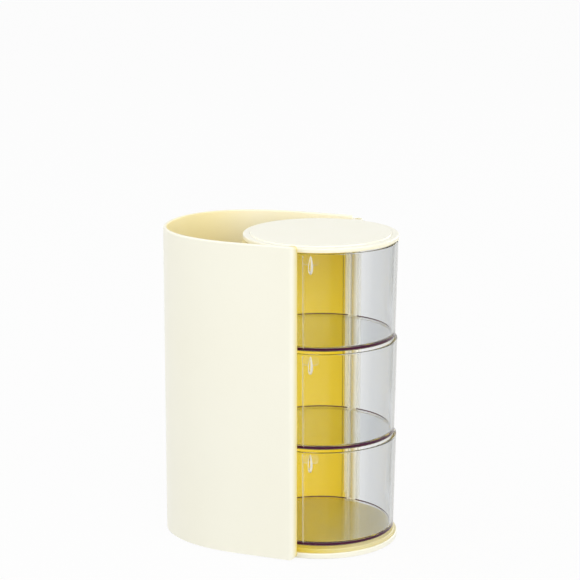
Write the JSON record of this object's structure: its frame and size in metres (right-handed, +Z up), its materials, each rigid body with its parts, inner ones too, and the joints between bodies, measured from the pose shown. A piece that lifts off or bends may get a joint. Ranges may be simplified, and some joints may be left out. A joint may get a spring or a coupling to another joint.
{
  "type": "hair accessory organizer",
  "caption": "Oval upright organizer with a tall open bay beside a stack of clear round drawers that swing out on a rear rod, under a flat round roof.",
  "frame": {"origin": "middle of the footprint, on the surface that the feet stand on", "axes": "+Z up, +X from the open bay towards the drawers, -Y the front that the drawers are pulled from"},
  "size_m": [0.1608, 0.1176, 0.2112],
  "materials": {
    "cream_plastic": "satin",
    "clear_plastic": "polished clear",
    "steel": "drawn",
    "nylon": "natural",
    "pad_rubber": "matte"
  },
  "bodies": {
    "frame": {"outer_shell": "cream_plastic", "bay_partition": "cream_plastic", "base_plate": "cream_plastic", "bay_roof": "cream_plastic", "roof_cap": "cream_plastic", "pivot_rod": "cream_plastic", "pivot_plug": "cream_plastic", "spacer_washer_1": "nylon", "spacer_washer_2": "nylon", "spacer_washer_3": "nylon", "spacer_washer_4": "nylon", "shell_screw_1": "steel", "shell_screw_2": "steel", "shell_screw_3": "steel", "partition_screw_1": "steel", "partition_screw_2": "steel", "foot_end": "pad_rubber", "foot_front": "pad_rubber", "foot_back": "pad_rubber", "foot_bay_front": "pad_rubber", "foot_bay_back": "pad_rubber"},
    "bottom_drawer": {"drawer_bottom": "clear_plastic"},
    "middle_drawer": {"drawer_middle": "clear_plastic"},
    "top_drawer": {"drawer_top": "clear_plastic"}
  },
  "joints": [
    {"name": "drawer_bottom_swing", "type": "hinge", "parent": "frame", "child": "bottom_drawer", "pos_m": [0.0341, 0.0552, 0.0086], "axis": [0, 0, 1], "range_deg": [0, 170]},
    {"name": "drawer_middle_swing", "type": "hinge", "parent": "frame", "child": "middle_drawer", "pos_m": [0.0341, 0.0552, 0.0748], "axis": [0, 0, 1], "range_deg": [0, 170]},
    {"name": "drawer_top_swing", "type": "hinge", "parent": "frame", "child": "top_drawer", "pos_m": [0.0341, 0.0552, 0.141], "axis": [0, 0, 1], "range_deg": [0, 170]}
  ]
}
